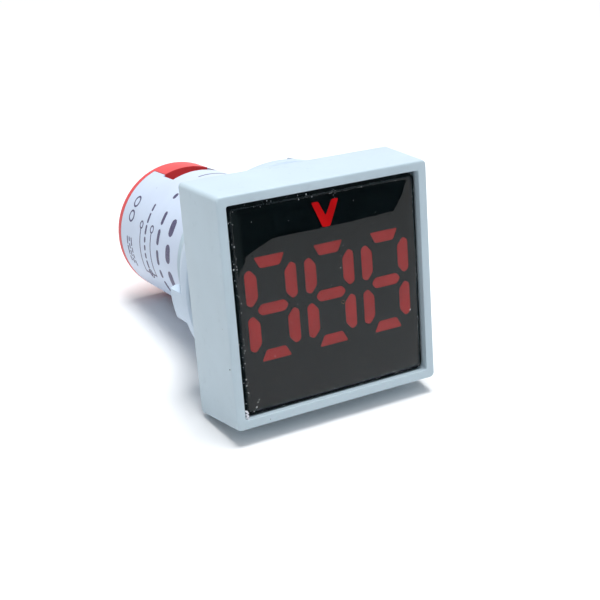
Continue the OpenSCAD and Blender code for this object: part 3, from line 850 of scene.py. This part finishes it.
dark_dust += [(-10.0, -DEPTH + 0.02, -13.95, 0.09), (-9.6, -DEPTH + 0.02, -13.8, 0.05),
              (-6.8, -DEPTH + 0.02, -13.8, 0.06),
              (-outer_side(-9) / 2 + 0.02, -9.0, -6.5, 0.10), (-outer_side(-8) / 2 + 0.02, -8.0, -1.6, 0.06),
              (9.0, -DEPTH + 0.02, 13.9, 0.06), (12.5, -DEPTH + 0.02, 14.0, 0.05)]
pale_lint = epoxy("pale_lint", (0.55, 0.58, 0.60), 0.8)
soot = epoxy("dark_grit", (0.06, 0.06, 0.055), 0.8)
crumbs("dust_on_display", edge_dust, pale_lint, 4)
crumbs("glue_in_corner", glue, epoxy("dried_glue", (0.66, 0.68, 0.74), 0.35), 6)
crumbs("amber_specks", gold, epoxy("amber_grit", (0.45, 0.22, 0.06), 0.6), 7)
crumbs("grit_on_frame", dark_dust, soot, 5)
print(len(edge_dust), "pale crumbs and", len(dark_dust), "dark ones")

# %% [markdown]
# ## Floor
#
# The meter lies on the rim of its nut and on the back of its barrel, so the table leans
# against the meter's own axes by about eight degrees. The table's plane goes through those
# two edges. It is pale paper. Near the meter it shows its own light and shadow, and further
# off it glows white for the eye and for mirrors, as an endless studio floor does.

# %% Lay the table under the nut and the barrel
nut_low, nut_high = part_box("lock_nut")
back_low, back_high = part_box("terminal_block")
rise = (back_low.z - nut_low.z) / (back_high.y - nut_low.y - 0.002)
lean = math.atan(rise)
floor_mesh = bpy.data.meshes.new("table_top")
span = 6.0
corners = [Vector((sx * span, sy * span * math.cos(lean), sy * span * math.sin(lean)))
           for sx, sy in ((-1, -1), (1, -1), (1, 1), (-1, 1))]
middle = Vector((0, nut_low.y + 0.002, nut_low.z - 0.00003))
floor_mesh.from_pydata([middle + c for c in corners], [], [(0, 1, 2, 3)])
table_top = bpy.data.objects.new("table_top", floor_mesh)
bpy.context.scene.collection.objects.link(table_top)


def seen_rays(finish):
    """1 for the rays of an eye, a mirror or clear glass, and 0 for those that carry light."""
    kinds = [finish.node("ShaderNodeLightPath", out=f"Is {kind} Ray")
             for kind in ("Camera", "Glossy", "Transmission")]
    return kinds[0] + kinds[1] + kinds[2]


paper = Finish("table_paper", roughness=0.8, specular_ior_level=0.1)
paper.set(base_color=paper.mix(paper.noise(60), (0.88, 0.89, 0.90), (0.91, 0.91, 0.92)))
glow = paper.node("ShaderNodeEmission", None, {"Color": (1.0, 1.0, 1.0), "Strength": 1.0})
distance = paper.node("ShaderNodeVectorMath", {"operation": "LENGTH"}, {0: paper.place}, out="Value")
seen = seen_rays(paper) * distance.ramp(0.06, 0.4, 0.0, 1.0)
lit = Value(paper, paper.shader.outputs[0])
both = paper.node("ShaderNodeMixShader", None, {0: seen, 1: lit, 2: glow})
paper.plug(paper.output.inputs["Surface"], both)
floor_mesh.materials.append(paper.material)
table_top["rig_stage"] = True
print("the table leans by", round(math.degrees(lean), 2), "degrees")

# %% [markdown]
# ## Light
#
# A white room gives an even light from all round, and one wide lamp above and behind the
# meter makes the top faces brightest and drops a soft shadow under it. A dark curtain hangs
# in front. Only mirrors see it: it gives the dome its dark upper part, and its folded foot
# gives that part its bent lower edge.

# %% Light the room
class Air(Finish):
    """The light of a whole room, built from the same kind of nodes as a finish."""

    def __init__(self, world):
        world.use_nodes = True
        self.tree = world.node_tree
        self.tree.nodes.clear()


world = bpy.data.worlds.new("room")
bpy.context.scene.world = world
air = Air(world)
room = air.node("ShaderNodeBackground", None, {"Color": (0.90, 0.95, 1.0), "Strength": 0.29})
white = air.node("ShaderNodeBackground", None, {"Color": (1.0, 1.0, 1.0), "Strength": 1.0})
choice = air.node("ShaderNodeMixShader", None, {0: seen_rays(air), 1: room, 2: white})
air.plug(air.tree.nodes.new("ShaderNodeOutputWorld").inputs["Surface"], choice)


def soft_lamp(name, place, target, size, watts, tone=(1, 1, 1)):
    lamp = bpy.data.objects.new(name, bpy.data.lights.new(name, "AREA"))
    lamp.data.size, lamp.data.energy, lamp.data.color = size, watts, tone
    lamp.location = place
    lamp.rotation_euler = (Vector(target) - Vector(place)).to_track_quat("-Z", "Y").to_euler()
    bpy.context.scene.collection.objects.link(lamp)
    return lamp


soft_lamp("window_above", (0.04, -0.08, 0.74), (0, 0.01, 0), 0.36, 6.5)
soft_lamp("fill_in_front", (-0.10, -0.42, 0.55), (0, 0, -0.02), 0.4, 0.75, (0.93, 0.97, 1.0))
print("two lamps and a white room")

# %% Hang the dark curtain where only mirrors see it
# each corner of the folded curtain: a bearing in degrees from straight ahead, and a distance
CORNERS = ((-45, 0.22), (16, 0.21), (22, 0.31), (36, 0.32), (38.5, 1.9))
feet = []
for bearing, reach in CORNERS:
    x, y = reach * math.sin(math.radians(bearing)), -reach * math.cos(math.radians(bearing))
    feet.append(Vector((x, y, middle.z + (y - middle.y) * rise)))
card_mesh = bpy.data.meshes.new("dark_card")
tops = [foot + Vector((0, 0, 1.2)) for foot in feet]
count = len(feet)
folds = [(i, i + 1, count + i + 1, count + i) for i in range(count - 1)]
card_mesh.from_pydata(feet + tops, [], folds)
card = bpy.data.objects.new("dark_card", card_mesh)
bpy.context.scene.collection.objects.link(card)
matt = Finish("matt_card", roughness=1.0, specular_ior_level=0.0)
bands = matt.noise(60, detail=3, place=matt.stretched(0.3, 0.3, 2.0)).ramp(0.5, 0.75)
side = matt.node("ShaderNodeSeparateXYZ", None, {0: matt.place}).ramp(0.062, 0.03, 0.0, 0.75)
dark = matt.mix(bands, (0.003, 0.006, 0.012), (0.10, 0.14, 0.13))
matt.set(base_color=matt.mix(side, dark, (0.30, 0.38, 0.38)))
card_mesh.materials.append(matt.material)
card.visible_camera = card.visible_diffuse = False
card.visible_shadow = card.visible_transmission = False
card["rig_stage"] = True
print("curtain is", round((feet[-1] - feet[0]).length, 2), "m long")

# %% [markdown]
# ## Sizes
#
# The sizes of the imported model and of the dressed part are printed side by side.

# %% Print both boxes
seen_low, seen_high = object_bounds()
for label, size in (("model", cad_high - cad_low), ("dressed", seen_high - seen_low)):
    print(label, [round(v / MM, 3) for v in size], "mm")
